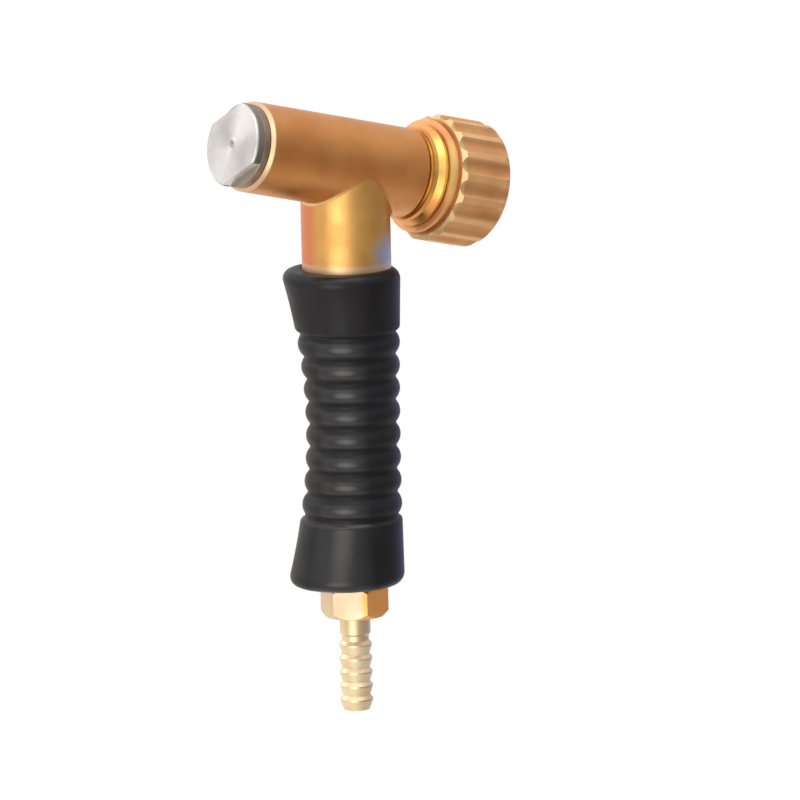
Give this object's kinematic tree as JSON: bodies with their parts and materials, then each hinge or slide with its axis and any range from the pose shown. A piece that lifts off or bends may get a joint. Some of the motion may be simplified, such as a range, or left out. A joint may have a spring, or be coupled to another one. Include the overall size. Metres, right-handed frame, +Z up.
{
  "type": "tig torch",
  "caption": "Compact T-head TIG torch: brass barrel with plugged nose and fluted back cap, ribbed rubber handle, union nut and barbed hose tail",
  "frame": {"origin": "on the handle axis, at the crest of the hose tail's last barb", "axes": "+Z up the handle towards the head, -X along the way the nose points, +Y to the torch's far side in the picture"},
  "size_m": [0.0914, 0.0363, 0.1798],
  "materials": {
    "satin_brass": "satin, faint turning marks",
    "polished_brass": "polished",
    "turned_brass": "turned, semi-bright",
    "pale_brass": "bright, pale",
    "plated_steel": "radially brushed plating",
    "spring_steel": "drawn wire",
    "copper": "plain copper",
    "grip_rubber": "moulded, satin",
    "seal_rubber": "smooth",
    "insulating_tube": "matt laminate",
    "fibre": "matt fibre"
  },
  "bodies": {
    "torch": {"torch_body": "satin_brass", "nose_plug": "plated_steel", "nose_gasket": "copper", "gas_diffuser": "turned_brass", "collet_body": "copper", "gland_gasket": "copper", "rear_gland": "polished_brass", "neck_reducer": "turned_brass", "neck_seal": "seal_rubber", "stem_tube": "copper", "handle_core": "insulating_tube", "end_fitting": "turned_brass", "grip_washer": "fibre", "grip": "grip_rubber"},
    "draw": {"thrust_pin": "turned_brass", "pin_clip": "spring_steel", "collet": "copper"},
    "cap": {"back_cap": "turned_brass", "cap_seal": "seal_rubber"},
    "tail": {"hose_tail": "pale_brass", "tail_seal": "fibre"},
    "union": {"union_nut": "pale_brass"}
  },
  "joints": [
    {"name": "thrust_slide", "type": "slide", "parent": "torch", "child": "draw", "axis": [0.9694, 0, -0.2453], "range_m": [0, 0.012]},
    {"name": "cap_turn", "type": "hinge", "parent": "draw", "child": "cap", "pos_m": [0.03587, 0, 0.14668], "axis": [0.9694, 0, -0.2453], "range_deg": [0, 2880]},
    {"name": "tail_slide", "type": "slide", "parent": "torch", "child": "tail", "axis": [0, 0, -1], "range_m": [0, 0.005]},
    {"name": "union_turn", "type": "hinge", "parent": "tail", "child": "union", "pos_m": [0, 0, 0.029], "axis": [0, 0, -1], "range_deg": [0, 1800]}
  ],
  "couplings": [
    {"joint": "cap_turn", "follows": "thrust_slide", "rad_per_m": 4188.8},
    {"joint": "union_turn", "follows": "tail_slide", "rad_per_m": 6283.2}
  ]
}
